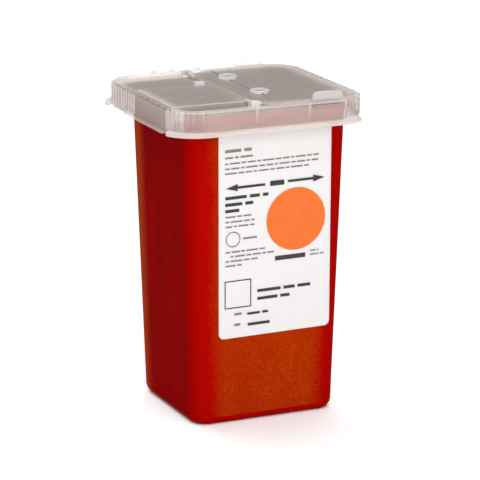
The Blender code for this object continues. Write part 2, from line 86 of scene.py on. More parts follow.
def distance_past(tree, point, centre, half):
    """Distance of a point outside an upright box that is known by its centre and half sizes."""
    shifted = add_node(tree, "ShaderNodeVectorMath", {0: point, 1: centre}, operation='SUBTRACT')
    sides = add_node(tree, "ShaderNodeVectorMath", {0: shifted.outputs["Vector"]}, operation='ABSOLUTE')
    past = add_node(tree, "ShaderNodeVectorMath",
                    {0: sides.outputs["Vector"], 1: half}, operation='SUBTRACT')
    outer = add_node(tree, "ShaderNodeVectorMath",
                     {0: past.outputs["Vector"], 1: (0.0, 0.0, 0.0)}, operation='MAXIMUM')
    reach = add_node(tree, "ShaderNodeVectorMath", {0: outer.outputs["Vector"]}, operation='LENGTH')
    return reach.outputs["Value"]


print("half grey, #808080, is", round(linear("#808080")[0], 3), "in linear light")

# %% [markdown]
# ## Red polypropylene, injection moulded
# The box is a thin moulding in a red polypropylene that lets a little light through. The mould was
# lightly blasted, so the surface is a satin full of fine specks. Its tones are painted light and
# shade: the flat front and rear get a painted orange sheen, and the sides, the round corners and the
# foot a painted deeper shade of red. An image could hold those tones, but a row of five reds does it
# with nodes alone: the direction of the surface chooses the place in the row, the specks move each
# spot a little along it, and a spot near a corner or the foot steps back into the painted shade.


# %% Specks and streaks of the red plastic
STREAKS = 6 / (100 * MM)
STREAK_DRAW = 0.35
SPECKS = 85 / (100 * MM)


def red_specks(tree, place):
    """The blasted grain, and the specks that it makes together with streaks of pigment."""
    # Six streaks across 100 mm of wall, drawn out to about 48 mm along the flow of the moulding
    flow = add_node(tree, "ShaderNodeMapping", {"Vector": place, "Scale": (1.0, 1.0, STREAK_DRAW)})
    streaks = add_node(tree, "ShaderNodeTexNoise",
                       {"Vector": flow.outputs["Vector"], "Scale": STREAKS, "Detail": 3.0})
    # Blasted grain is finer than a pixel, so it is drawn as specks of about 1 mm
    grain = add_node(tree, "ShaderNodeTexNoise", {"Vector": place, "Scale": SPECKS, "Detail": 2.0})
    mottle = add_node(tree, "ShaderNodeMix",
                      {"Factor": 0.35, "A": grain.outputs["Fac"], "B": streaks.outputs["Fac"]},
                      data_type='FLOAT')
    specks = add_node(tree, "ShaderNodeMapRange",
                      {"Value": mottle.outputs["Result"], "From Min": 0.38, "From Max": 0.64})
    return grain.outputs["Fac"], specks.outputs["Result"]


print("streaks", round(1 / STREAKS / MM, 1), "mm wide, specks", round(1 / SPECKS / MM, 1), "mm")

# %% Where the red steps back into painted shade
DRAFT = math.tan(math.radians(1.58))
WALL_SHIFT = 1.6 * MM
FADE_START = 20.5 * MM
FADE_END = 29.5 * MM


def step_back(tree, spot, facing):
    """How far a spot steps back in the row of reds: the painted sheen fades near the corners, and painted
    shade darkens the rounded foot.
    """
    # The box stands right of the lid's middle and its walls lean, so X is measured along the lean
    aside = add_node(tree, "ShaderNodeMath", {0: spot.outputs["X"], 1: WALL_SHIFT}, operation='SUBTRACT')
    off = add_node(tree, "ShaderNodeMath", {0: aside.outputs["Value"]}, operation='ABSOLUTE')
    taper = add_node(tree, "ShaderNodeMath",
                     {0: spot.outputs["Z"], 1: -DRAFT, 2: off.outputs["Value"]},
                     operation='MULTIPLY_ADD')
    # The painted orange sheen of the flat walls fades over the last 9 mm before each corner
    painted_sheen_fade = add_node(tree, "ShaderNodeMapRange",
                    {"Value": taper.outputs["Value"], "From Min": FADE_START, "From Max": FADE_END,
                     "To Max": 0.06}, interpolation_type='SMOOTHSTEP')
    # Painted shade: on the rounded foot, where the wall turns under, the red steps back too
    foot = add_node(tree, "ShaderNodeMapRange",
                    {"Value": facing.outputs["Z"], "From Min": -0.04, "From Max": -0.10,
                     "To Max": 0.07}, interpolation_type='SMOOTHSTEP')
    both = add_node(tree, "ShaderNodeMath",
                    {0: painted_sheen_fade.outputs["Result"], 1: foot.outputs["Result"]}, operation='MAXIMUM')
    return both.outputs["Value"]


print("the orange fades over", round((FADE_END - FADE_START) / MM, 1), "mm")

# %% Red moulded polypropylene
RED_STOPS = (0.05, 0.909, 0.972)
# Where the painted backlight warms the rear of the side walls, and its orange
REAR_START = 17 * MM
REAR_END = 28 * MM
PAINTED_BACKLIGHT_ORANGE = "#B85222"
GRAIN_DEPTH = 0.2 * MM


def red_polypropylene(name, reds):
    """Moulded red plastic: five reds run from painted shade on the sides over the corners to painted
    sheen on the front.
    """
    material, tree, shader = new_material(name)
    place = add_node(tree, "ShaderNodeTexCoord")
    facing = add_node(tree, "ShaderNodeSeparateXYZ", {"Vector": place.outputs["Normal"]})
    flat = add_node(tree, "ShaderNodeMath", {0: facing.outputs["Y"]}, operation='ABSOLUTE')
    grain, specks = red_specks(tree, place.outputs["Object"])
    shade = add_node(tree, "ShaderNodeMix", {"Factor": 0.05, "A": flat.outputs["Value"], "B": specks},
                     data_type='FLOAT')
    spot = add_node(tree, "ShaderNodeSeparateXYZ", {"Vector": place.outputs["Object"]})
    back = step_back(tree, spot, facing)
    flat_back = add_node(tree, "ShaderNodeMath", {0: back, 1: flat.outputs["Value"]},
                         operation='MULTIPLY')
    place_in_row = add_node(tree, "ShaderNodeMath",
                            {0: shade.outputs["Result"], 1: flat_back.outputs["Value"]},
                            operation='SUBTRACT')
    # The row of reds paints shade on the sides, corners and foot, and an orange sheen on the flat front
    # and rear
    red = add_node(tree, "ShaderNodeValToRGB", {"Fac": place_in_row.outputs["Value"]})
    stops = red.color_ramp.elements
    stops[0].color = linear(reds[0])
    stops[1].color = linear(reds[-1])
    for position, colour in zip(RED_STOPS, reds[1:-1]):
        stops.new(position).color = linear(colour)
    # Painted backlight: the rear of the side walls is warmed to orange, as if light from behind came
    # through it
    rear = add_node(tree, "ShaderNodeMapRange",
                    {"Value": spot.outputs["Y"], "From Min": REAR_START, "From Max": REAR_END,
                     "To Max": 0.45}, interpolation_type='SMOOTHSTEP')
    sideways = add_node(tree, "ShaderNodeMath", {0: 1.0, 1: flat.outputs["Value"]}, operation='SUBTRACT')
    painted_backlight = add_node(tree, "ShaderNodeMath",
                   {0: rear.outputs["Result"], 1: sideways.outputs["Value"]}, operation='MULTIPLY')
    tint = add_node(tree, "ShaderNodeMix",
                    {"Factor": painted_backlight.outputs["Value"], "A": red.outputs["Color"],
                     "B": linear(PAINTED_BACKLIGHT_ORANGE)}, data_type='RGBA')
    relief = add_node(tree, "ShaderNodeBump",
                      {"Height": grain, "Strength": 0.08, "Distance": GRAIN_DEPTH})
    tree.links.new(tint.outputs["Result"], shader.inputs["Base Color"])
    tree.links.new(relief.outputs["Normal"], shader.inputs["Normal"])
    shader.inputs["Roughness"].default_value = 0.5
    shader.inputs["Specular IOR Level"].default_value = 0.0
    shader.inputs["Coat Weight"].default_value = 0.15
    shader.inputs["Coat IOR"].default_value = 1.05
    shader.inputs["Coat Roughness"].default_value = 0.10
    shader.inputs["Sheen Weight"].default_value = 0.10
    shader.inputs["Sheen Roughness"].default_value = 0.12
    shader.inputs["Sheen Tint"].default_value = linear("#FFA070")
    print("made", material.name)
    return material


# Dark painted shade for the sides, then the corners, then the painted orange sheen of the flat walls
red_pp = red_polypropylene("red_polypropylene_moulded",
                           ("#760101", "#930101", "#A20601", "#A02B04", "#AC3806"))
# The thin lower edge of the rim flange gets a painted glow: bright orange reds stand in for the light it
# gathers
glow_rim_painted_pp = red_polypropylene("red_polypropylene_rim_painted_glow",
                           ("#FF5A30", "#FF5A30", "#FF5E34", "#FF6A3A", "#FF7846"))

# %% [markdown]
# ## Natural polypropylene, injection moulded
# The lid and its flap are the same plastic without pigment. It is cloudy: light passes, but what is
# behind is veiled. True scattering inside the plastic would be slow and noisy, so part of the surface
# is an ordinary satin, part scatters light from behind, and part lets the view through. Edges and
# bosses are thick and milky, and walls, lips and finger tabs are clearer. The kinds are also lighter
# and darker copies of one plastic that paint light and shade: the paler edges, bosses, corners and
# rear blocks carry painted light and highlights, and the darker side walls and front shoulder carry
# painted shade. The deck is greyest over the mouth of the box and paler towards the rim, as painted
# shade of the dark box below and painted light on the overhang. That makes eight kinds of one plastic.


# %% Natural moulded polypropylene
CLOUDS = 9 / (100 * MM)
SATIN = 90 / (100 * MM)
SKIRT_STRAIGHT = (33.2 * MM, 30.6 * MM)
BORDER_CENTRE = (-1.0 * MM, -4.0 * MM, 0.0)
BORDER_START = 6.5 * MM
BORDER_END = 12.0 * MM
# Half height of a box so tall, in metres, that only X and Y count
ANY_HEIGHT = 1.0


def natural_polypropylene(name, dark, pale, glow, clear, roughness, rim=None):
    """Cloudy unpigmented plastic: glow scatters light through it, clear lets the view through."""
    material, tree, shader = new_material(name)
    place = add_node(tree, "ShaderNodeTexCoord")
    # Flow clouds of about 11 mm, with finer ones in them
    cloud = add_node(tree, "ShaderNodeTexNoise",
                     {"Vector": place.outputs["Object"], "Scale": CLOUDS, "Detail": 4.0})
    milk = add_node(tree, "ShaderNodeMix",
                    {"Factor": cloud.outputs["Fac"], "A": linear(dark), "B": linear(pale)},
                    data_type='RGBA')
    if rim:
        # Distance from a box over the mouth, so that the pale rim of painted light has round corners
        # around the greyer painted shade over the mouth
        reach = distance_past(tree, place.outputs["Object"], BORDER_CENTRE, (*SKIRT_STRAIGHT, ANY_HEIGHT))
        painted_light_rim = add_node(tree, "ShaderNodeMapRange",
                          {"Value": reach, "From Min": BORDER_START, "From Max": BORDER_END},
                          interpolation_type='SMOOTHSTEP')
        milk = add_node(tree, "ShaderNodeMix",
                        {"Factor": painted_light_rim.outputs["Result"], "A": milk.outputs["Result"],
                         "B": linear(rim)}, data_type='RGBA')
    # The satin of the mould is finer than a pixel too, and is drawn at about 1 mm
    grain = add_node(tree, "ShaderNodeTexNoise",
                     {"Vector": place.outputs["Object"], "Scale": SATIN, "Detail": 2.0})
    relief = add_node(tree, "ShaderNodeBump",
                      {"Height": grain.outputs["Fac"], "Strength": 0.06, "Distance": GRAIN_DEPTH})
    tree.links.new(milk.outputs["Result"], shader.inputs["Base Color"])
    tree.links.new(relief.outputs["Normal"], shader.inputs["Normal"])
    shader.inputs["Roughness"].default_value = roughness
    shader.inputs["IOR"].default_value = 1.49
    through = add_node(tree, "ShaderNodeBsdfTranslucent", {"Color": milk.outputs["Result"]})
    hazy = add_node(tree, "ShaderNodeMixShader",
                    {"Fac": glow, 1: shader.outputs["BSDF"], 2: through.outputs["BSDF"]})
    view = add_node(tree, "ShaderNodeBsdfTransparent")
    skin = add_node(tree, "ShaderNodeMixShader",
                    {"Fac": clear, 1: hazy.outputs["Shader"], 2: view.outputs["BSDF"]})
    tree.links.new(skin.outputs["Shader"], tree.nodes["Material Output"].inputs["Surface"])
    print("made", material.name)
    return material


# %% Eight kinds of natural polypropylene
# Paler edge, boss, corner and tab kinds carry painted light and highlights; the darker side kind and the
# lip kind on the front shoulder carry painted shade
wall_pp = natural_polypropylene("natural_polypropylene_wall", "#E9E1DC", "#F0E9E5", 0.58, 0.50, 0.30)
side_pp = natural_polypropylene("natural_polypropylene_side", "#CBC3BD", "#D5CDC8", 0.50, 0.38, 0.30)
# The deck's pale rim colour is painted light on the overhang; its greyer middle is painted shade of the
# dark box below
deck_pp = natural_polypropylene("natural_polypropylene_deck", "#C9BEB8", "#D6CCC7", 0.50, 0.14, 0.30,
                                rim="#F0E8E3")
edge_pp = natural_polypropylene("natural_polypropylene_edge", "#E5DEDA", "#ECE6E2", 0.40, 0.24, 0.14)
tab_pp = natural_polypropylene("natural_polypropylene_tab", "#EEEAE8", "#F5F2F0", 0.52, 0.58, 0.22)
corner_pp = natural_polypropylene("natural_polypropylene_corner", "#F3EEEB", "#F9F5F3", 0.50, 0.24, 0.30)
boss_pp = natural_polypropylene("natural_polypropylene_boss", "#F2EEEC", "#F8F5F3", 0.22, 0.10, 0.12)
lip_pp = natural_polypropylene("natural_polypropylene_lip", "#D8D0CA", "#E0D8D3", 0.50, 0.66, 0.25)
CLOUDY = [wall_pp, deck_pp, edge_pp, tab_pp, side_pp, boss_pp, corner_pp, lip_pp]
WALL, DECK, EDGE, TAB, SIDE, BOSS, CORNER, LIP = range(len(CLOUDY))

# %% [markdown]
# ## Label film and inks
# The label is a white coated film, a little glossier than paper, and its marks are plain flat inks.
# The film's coating is faintly uneven, and an ink's density drifts. A soft noise between two close
# tones gives both, where one flat colour would look like paint.

# %% Label film
COATING = 1 / (2.5 * MM)
label_film, tree, shader = new_material("white_label_film_coated")
place = add_node(tree, "ShaderNodeTexCoord")
coating = add_node(tree, "ShaderNodeTexNoise",
                   {"Vector": place.outputs["Object"], "Scale": COATING, "Detail": 4.0})
white = add_node(tree, "ShaderNodeMix",
                 {"Factor": coating.outputs["Fac"], "A": linear("#DBD9D8"), "B": linear("#E1DFDE")},
                 data_type='RGBA')
tree.links.new(white.outputs["Result"], shader.inputs["Base Color"])
shader.inputs["Roughness"].default_value = 0.42
print("made", label_film.name)

# %% Inks
INK_DRIFT = 1 / (4 * MM)


def printing_ink(name, thin, full):
    """A flat printing ink whose density drifts a little over about 4 mm."""
    material, tree, shader = new_material(name)
    place = add_node(tree, "ShaderNodeTexCoord")
    drift = add_node(tree, "ShaderNodeTexNoise",
                     {"Vector": place.outputs["Object"], "Scale": INK_DRIFT, "Detail": 2.0})
    density = add_node(tree, "ShaderNodeMix",
                       {"Factor": drift.outputs["Fac"], "A": linear(thin), "B": linear(full)},
                       data_type='RGBA')
    tree.links.new(density.outputs["Result"], shader.inputs["Base Color"])
    shader.inputs["Roughness"].default_value = 0.5
    print("made", material.name)
    return material


black_ink = printing_ink("black_ink_printed", "#332F2D", "#241F1D")
grey_ink = printing_ink("grey_ink_printed", "#837E7C", "#716C6A")
orange_ink = printing_ink("orange_ink_printed", "#E66C10", "#DE620B")

# %% [markdown]
# ## The mouldings
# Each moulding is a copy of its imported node, because that already has the right shape. The copy's
# loose triangles are welded, its flat faces are joined again, and its hard outer edges get the small
# radius that every mould has. Blender makes all the edges of one bevel as small as the tightest place
# needs, so each run of edges is bevelled by itself and gets the full radius where it has room.


# %% From a bmesh to a piece
SHARP_TURN = math.radians(50)


def add_piece(shape, name, materials, body, node=None):
    """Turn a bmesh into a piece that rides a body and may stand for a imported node."""
    mesh = bpy.data.meshes.new(name)
    shape.to_mesh(mesh)
    shape.free()
    for material in materials:
        mesh.materials.append(material)
    mesh.shade_smooth()
    mesh.set_sharp_from_angle(angle=SHARP_TURN)
    piece = bpy.data.objects.new(name, mesh)
    bpy.context.scene.collection.objects.link(piece)
    even = piece.modifiers.new("even_shading", 'WEIGHTED_NORMAL')
    even.keep_sharp = True
    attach(piece, body)
    if node:
        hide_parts(node)
    print(name, len(mesh.vertices), "vertices", len(mesh.polygons), "faces")


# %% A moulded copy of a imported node
WELD = 0.002 * MM
FLAT_TURN = math.radians(0.5)
EDGE_TURN = math.radians(35)
SHORT_EDGE = 0.6 * MM


def edge_runs(shape):
    """Connected runs of sharp outer edges that have room for a radius."""
    sharp = [edge for edge in shape.edges if edge.is_manifold and edge.is_convex
             and edge.calc_face_angle() > EDGE_TURN
             and all(near.calc_length() > SHORT_EDGE for vert in edge.verts for near in vert.link_edges)]
    waiting = set(sharp)
    runs = []
    for first in sharp:
        if first in waiting:
            waiting.discard(first)
            run = [first]
            for edge in run:
                fresh = [near for vert in edge.verts for near in vert.link_edges if near in waiting]
                waiting.difference_update(fresh)
                run += dict.fromkeys(fresh)
            runs.append(run)
    return runs


def moulding(node, edge_radius):
    """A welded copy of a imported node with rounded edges; also the faces of those edges."""
    shape = bmesh.new()
    shape.from_mesh(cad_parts[node].data)
    bmesh.ops.remove_doubles(shape, verts=shape.verts, dist=WELD)
    bmesh.ops.dissolve_limit(shape, angle_limit=FLAT_TURN, verts=shape.verts, edges=shape.edges)
    rounded = []
    for run in edge_runs(shape):
        bevel = bmesh.ops.bevel(shape, geom=run, offset=edge_radius, offset_type='OFFSET', segments=2,
                                profile=0.5, affect='EDGES', clamp_overlap=True, material=-1)
        rounded += bevel["faces"]
    print(node, "has", len(rounded), "faces on its rounded edges")
    return shape, rounded


# %% [markdown]
# ## The red box
# The box is one moulding, but the thin lower edge of its rim flange gets a painted glow that shows
# through the lid. A cut across the flange gives that edge faces of its own, and those take the
# bright red of the painted glow.

# %% Red box
SKIRT_CORNER = 15.5 * MM
BOX_EDGE = 0.35 * MM
FLANGE_WIDTH = 6 * MM
GLOW_LOW = 148 * MM
GLOW_HIGH = 149.8 * MM


def past_skirt(point):
    """How far a point lies outside the outline of the lid's skirt."""
    x = max(0.0, abs(point.x) - SKIRT_STRAIGHT[0])
    y = max(0.0, abs(point.y) - SKIRT_STRAIGHT[1])
    return math.hypot(x, y) - SKIRT_CORNER


shape = moulding("container_body", BOX_EDGE)[0]
bmesh.ops.bisect_plane(shape, geom=shape.verts[:] + shape.edges[:] + shape.faces[:],
                       plane_co=(0.0, 0.0, GLOW_HIGH), plane_no=(0.0, 0.0, 1.0))
# Faces on the lower edge of the flange take the painted glow
for face in shape.faces:
    middle = face.calc_center_median()
    face.material_index = int(past_skirt(middle) > -FLANGE_WIDTH and GLOW_LOW < middle.z < GLOW_HIGH)
add_piece(shape, "red_container", [red_pp, glow_rim_painted_pp], "container", "container_body")

# %% [markdown]
# ## The cloudy lid and its flap
# How cloudy a place looks depends on how thick the plastic is there and on what lies behind it. Every
# face is sorted by its place and direction into one of the eight kinds, which also paints light and
# shade: the side walls and the front shoulder take darker kinds as painted shade, and edges, bosses,
# corners and rear blocks paler ones as painted light. A texture could blend them, but on the real lid
# they meet at edges, so whole faces do.

# %% Features of the lid and the flap, in mm
STEEP = 0.9
RAISED_START = 153.2
SIDE_START = 36
SIDE_WALL = 47
TURN_START = 33
FRONT_LEFT = -43
HINGE_X, BLOCK_HALF, BLOCK_START = -7.7, 3, 36
KNUCKLE_X, KNUCKLE_HALF, KNUCKLE_END, KNUCKLE_FOOT = -8, 2.6, 37, 153
PANEL_FRONT, PANEL_RIGHT = -34.5, -10
BOSS_X, DISH_HALF, DISH_LOW, DISH_HIGH = 4.7, 3.5, 155.25, 156
BOSS_FOOT, BOSS_SHOULDER = 155.0, 155.3
TAB_FOOT, TAB_LEFT, TAB_DEPTH = 155.9, 15, 6
LIP_START, LIP_TOP, SIDE_LIP_END = 0.1, 152.5, 31
RIB_FOOT, RIB_WIDTH = 145.4, 2
SKIRT_DEPTH, SHOULDER_LEAN, SHOULDER_FRONT = 2.0, 0.3, -30
REAR_DETAIL, LOW_DECK = 34, 150
LID_EDGE = 0.3 * MM
print("the hinge lies", -HINGE_X, "mm left of the middle, the bosses", BOSS_X, "mm right of it")


# %% Sort the faces
def is_frontal(x, y):
    """Whether a place lies on the front of the lid, apart from its left corner."""
    return y < 0 and x > FRONT_LEFT


def lip_kind(x, y, z):
    """Kind of a face on the pry lips and ribs around the skirt."""
    if abs(x) > SIDE_START:
        if abs(y) < SIDE_LIP_END:
            return LIP
        odd_rib = int(abs(x) / RIB_WIDTH) % 2 == 1
        if z > RIB_FOOT and (odd_rib or is_frontal(x, y)):
            return WALL
    return EDGE


def skirt_kind(x, y, lean):
    """Kind of a face on the skirt itself: painted shade on the front shoulder and the side walls, painted
    light on the corners.
    """
    if lean > SHOULDER_LEAN and y < SHOULDER_FRONT:
        return LIP
    if abs(x) > SIDE_START and abs(y) > TURN_START and not is_frontal(x, y):
        return CORNER
    return SIDE if abs(x) > SIDE_WALL else WALL


def top_kind(x, y, z, normal, is_rounded):
    """Kind of a face inside the skirt: deck, blocks, bosses and their edges; the pale rear blocks, bosses
    and edges carry painted light and highlights.
    """
    raised = z > RAISED_START and abs(normal.z) < STEEP
    if raised and y > REAR_DETAIL:
        return TAB
    if raised and abs(x - HINGE_X) < BLOCK_HALF and abs(y) > BLOCK_START:
        return BOSS
    if z > BOSS_SHOULDER or raised and z > BOSS_FOOT:
        return BOSS
    if is_rounded or raised:
        return EDGE
    return DECK if z > LOW_DECK else WALL


def kind_of(face, is_rounded):
    """Kind of natural polypropylene that a face of the lid or the flap shows, with painted light and
    shade by its place and direction.
    """
    middle = face.calc_center_median()
    normal = face.normal
    past = past_skirt(middle) / MM
    x, y, z = [value / MM for value in middle]
    if z > TAB_FOOT and x > TAB_LEFT and past > -TAB_DEPTH:
        return TAB
    # Painted light: the pale corner kind on the hinge knuckles hides the shade in the hinge groove
    if abs(x - KNUCKLE_X) < KNUCKLE_HALF and abs(y) < KNUCKLE_END and z > KNUCKLE_FOOT:
        return CORNER
    if normal.y < -STEEP and abs(y - PANEL_FRONT) < 1 and x < PANEL_RIGHT:
        return DECK
    if abs(x - BOSS_X) < DISH_HALF and DISH_LOW < z < DISH_HIGH and normal.z > STEEP:
        return SIDE
    if past > LIP_START and z < LIP_TOP:
        return lip_kind(x, y, z)
    if past > -SKIRT_DEPTH:
        return skirt_kind(x, y, normal.z)
    return top_kind(x, y, z, normal, is_rounded)


def cloudy_moulding(node):
    """A moulding with its faces sorted into the kinds of natural polypropylene."""
    shape, edges = moulding(node, LID_EDGE)
    rounded = set(edges)
    for face in shape.faces:
        face.material_index = kind_of(face, face in rounded)
    return shape


add_piece(cloudy_moulding("lid_frame"), "clear_lid", CLOUDY, "lid", "lid_frame")
add_piece(cloudy_moulding("disposal_flap"), "clear_flap", CLOUDY, "flap", "disposal_flap")

# %% [markdown]
# ## Ribs on the flap and the lid
# A low rib stiffens the flap along the line of its two round bosses, and fine upright ribs run along
# the rear half of both side walls of the lid, as a grip. Bump in a material would not show at their
# outline, so each rib is a real bar with rounded outer edges.


# %% Rib on the flap
def add_bar(shape, centre, size):
    """Add a straight bar to a bmesh by its centre and its size."""
    place = Matrix.Translation(centre) @ Matrix.Diagonal((*size, 1.0))
    bmesh.ops.create_cube(shape, size=1.0, matrix=place)


RIB_LOW = Vector((3.7, -37.0, 154.5)) * MM
RIB_HIGH = Vector((4.7, 37.0, 155.3)) * MM
RIB_EDGE = 0.25 * MM
rib_centre = (RIB_LOW + RIB_HIGH) / 2
shape = bmesh.new()
add_bar(shape, rib_centre, RIB_HIGH - RIB_LOW)
upper = [edge for edge in shape.edges if min(vert.co.z for vert in edge.verts) > rib_centre.z]
bmesh.ops.bevel(shape, geom=upper, offset=RIB_EDGE, segments=2, profile=0.5, affect='EDGES', material=-1)
add_piece(shape, "flap_rib", [deck_pp], "flap")

# %% Grip ribs
GRIP_RIBS = 9
GRIP_START = 5.6 * MM
GRIP_STEP = 3.2 * MM
GRIP_X = 48.8 * MM
GRIP_Z = 149.2 * MM
GRIP_SIZE = Vector((0.6, 0.7, 8.9)) * MM
GRIP_EDGE = 0.2 * MM
shape = bmesh.new()
for side in (-1, 1):
    for index in range(GRIP_RIBS):
        add_bar(shape, Vector((side * GRIP_X, GRIP_START + index * GRIP_STEP, GRIP_Z)), GRIP_SIZE)
outer = [edge for edge in shape.edges if min(abs(vert.co.x) for vert in edge.verts) > GRIP_X]
bmesh.ops.bevel(shape, geom=outer, offset=GRIP_EDGE, segments=2, profile=0.5, affect='EDGES', material=-1)
# The grip ribs take the pale corner kind, with its painted light
add_piece(shape, "lid_grip_ribs", [corner_pp], "lid")

# %% [markdown]
# ## The label
# The label is cut flat with round corners, then laid on the front wall by hand, so it leans by less
# than a degree. Its right edge just reaches the rounded corner of the box and follows it. A shrinkwrap
# could do that, but the wall is simple enough to work out, so each point goes straight to its place.

# %% Lay a flat shape on the front wall
RIM_HEIGHT = 151.1 * MM
MOUTH_HALF = (40.9 * MM, 38.3 * MM)
BOX_CORNER = 9 * MM
LABEL_FOOT = Vector((4.9 * MM, 0.0, 42.6 * MM))
LABEL_LEAN = math.radians(0.65)


def front_wall(x, z):
    """Y of the outside of the front wall."""
    taper = (RIM_HEIGHT - z) * DRAFT
    past = max(0.0, abs(x - WALL_SHIFT) - (MOUTH_HALF[0] - taper - BOX_CORNER))
    return -(MOUTH_HALF[1] - taper - BOX_CORNER + math.sqrt(max(0.0, BOX_CORNER ** 2 - past ** 2)))


def lay_on_wall(shape, lift, thickness):
    """Lean a flat shape, wrap it on the front wall and give it its thickness."""
    lean = Matrix.Rotation(-LABEL_LEAN, 3, 'Y')
    bmesh.ops.rotate(shape, cent=LABEL_FOOT, matrix=lean, verts=shape.verts)
    for vert in shape.verts:
        vert.co.y = front_wall(vert.co.x, vert.co.z) - lift
    bmesh.ops.recalc_face_normals(shape, faces=shape.faces)
    if sum(face.normal.y * face.calc_area() for face in shape.faces) > 0:
        bmesh.ops.reverse_faces(shape, faces=shape.faces)
    bmesh.ops.solidify(shape, geom=shape.faces, thickness=thickness)
    bmesh.ops.recalc_face_normals(shape, faces=shape.faces)


def flat_bar(shape, left, right, middle, height):
    """A flat bar in the label's plane, in mm."""
    low, high = middle - height / 2, middle + height / 2
    corners = [(left, low), (right, low), (right, high), (left, high)]
    shape.faces.new([shape.verts.new((x * MM, 0.0, z * MM)) for x, z in corners])


print("front wall at the label's foot, mm:", round(front_wall(LABEL_FOOT.x, LABEL_FOOT.z) / MM, 2))

# %% Label sheet
SHEET_LEFT, SHEET_RIGHT = -23.8, 33.6
SHEET_MIDDLE, SHEET_HEIGHT = 92.4, 99.6
SHEET_CORNER = 2.6 * MM
SHEET_LIFT = 0.2 * MM
SHEET_THICKNESS = 0.15 * MM
BEND_START, BEND_STEP, BEND_CUTS = 27.0, 0.6, 14
shape = bmesh.new()
flat_bar(shape, SHEET_LEFT, SHEET_RIGHT, SHEET_MIDDLE, SHEET_HEIGHT)
bmesh.ops.bevel(shape, geom=shape.verts, offset=SHEET_CORNER, segments=8, profile=0.5,
                affect='VERTICES', material=-1)
# Upright cuts near the right edge let the sheet bend round the corner of the box
for step in range(BEND_CUTS):
    cut = Vector(((BEND_START + BEND_STEP * step) * MM, 0.0, 0.0))
    bmesh.ops.bisect_plane(shape, geom=shape.verts[:] + shape.edges[:] + shape.faces[:],
                           plane_co=cut, plane_no=(1.0, 0.0, 0.0))
lay_on_wall(shape, SHEET_LIFT, SHEET_THICKNESS)
add_piece(shape, "label_sheet", [label_film], "container", "front_label")

# %% [markdown]
# ## Plain marks on the label
# A real label is full of print. This one carries no words, signs or numbers: lines of print are rows
# of plain bars, and the sign and the code are a plain disc and an empty box. The marks could be a
# texture on the sheet, but thin pieces of ink keep crisp edges at any distance.

# %% Bars, arrows and rings
WORDS = (3.4, 1.6, 5.2, 2.4, 4.1, 1.9, 6.0, 2.9)
BAR_HEIGHT = 0.72
WORD_GAP = 0.75
INK_LIFT = 0.38 * MM
INK_THICKNESS = 0.02 * MM


def rows_of_bars(shape, rows):
    """Fill lines of print with bars of word length, in mm."""
    for left, right, middle, height, first_word in rows:
        x, turn = left, first_word
        while x < right - height:
            end = min(right, x + WORDS[turn % len(WORDS)] * height)
            flat_bar(shape, x, end, middle, height * BAR_HEIGHT)
            x, turn = end + WORD_GAP * height, turn + 1


def arrow(shape, tip, tail, middle, bar, head_length, head_half):
    """A flat arrow from tail to tip, in mm."""
    way = 1 if tip > tail else -1
    neck = tip - way * head_length
    outline = [(tip, 0), (neck, head_half), (neck, bar / 2), (tail, bar / 2),
               (tail, -bar / 2), (neck, -bar / 2), (neck, -head_half)]
    shape.faces.new([shape.verts.new((x * MM, 0.0, (middle + z) * MM)) for x, z in outline])


def on_label(x, z):
    """Matrix that stands a circle upright at a place on the label, in mm."""
    return Matrix.Translation((x * MM, 0.0, z * MM)) @ Matrix.Rotation(math.radians(90), 4, 'X')


def ring(shape, x, z, radius, width):
    """A flat ring, in mm."""
    edges = []
    for size in (radius, radius - width):
        circle = bmesh.ops.create_circle(shape, segments=48, radius=size * MM, matrix=on_label(x, z))
        edges += dict.fromkeys(edge for vert in circle["verts"] for edge in vert.link_edges)
    bmesh.ops.bridge_loops(shape, edges=edges)


def add_ink(shape, name, ink):
    """Lay a flat shape on the label as a film of ink."""
    lay_on_wall(shape, INK_LIFT, INK_THICKNESS)
    add_piece(shape, name, [ink], "container")


print("ink stands", round(INK_LIFT / MM, 2), "mm off the wall")

# %% Black print
# Each row, in mm: left, right, height on the box, height of the line; then its first word in WORDS
BLACK_ROWS = ((-20.6, 1.3, 110.8, 2.1, 2), (-20.6, -5.7, 107.6, 2.1, 4), (-20.6, -11.0, 104.6, 2.1, 0),
              (4.9, 22.0, 79.0, 3.0, 2), (-4.2, 23.3, 64.3, 2.0, 6), (-4.2, 14.3, 60.5, 2.0, 2),
              (-9.4, 3.8, 53.7, 1.6, 4), (-9.1, 4.1, 48.4, 1.9, 6))
CODE_LEFT, CODE_RIGHT, CODE_LINE = -20.9, -7.3, 0.5
CODE_HEIGHTS = (70.5, 57.4)
CODE_MIDDLE, CODE_SIDE = 63.95, 12.6
shape = bmesh.new()
rows_of_bars(shape, BLACK_ROWS)
# The fill line: a bar between two arrows that point outwards
flat_bar(shape, 2.2, 9.4, 115.6, 2.4)
arrow(shape, -20.3, -0.3, 115.5, 1.2, 6.0, 1.7)
arrow(shape, 30.3, 11.3, 115.8, 1.2, 6.0, 1.7)
ring(shape, -16.6, 90.8, 3.7, 0.35)
# The empty box of the code
for height in CODE_HEIGHTS:
    flat_bar(shape, CODE_LEFT, CODE_RIGHT, height, CODE_LINE)
for left in (CODE_LEFT, CODE_RIGHT - CODE_LINE):
    flat_bar(shape, left, left + CODE_LINE, CODE_MIDDLE, CODE_SIDE)
add_ink(shape, "label_black_print", black_ink)

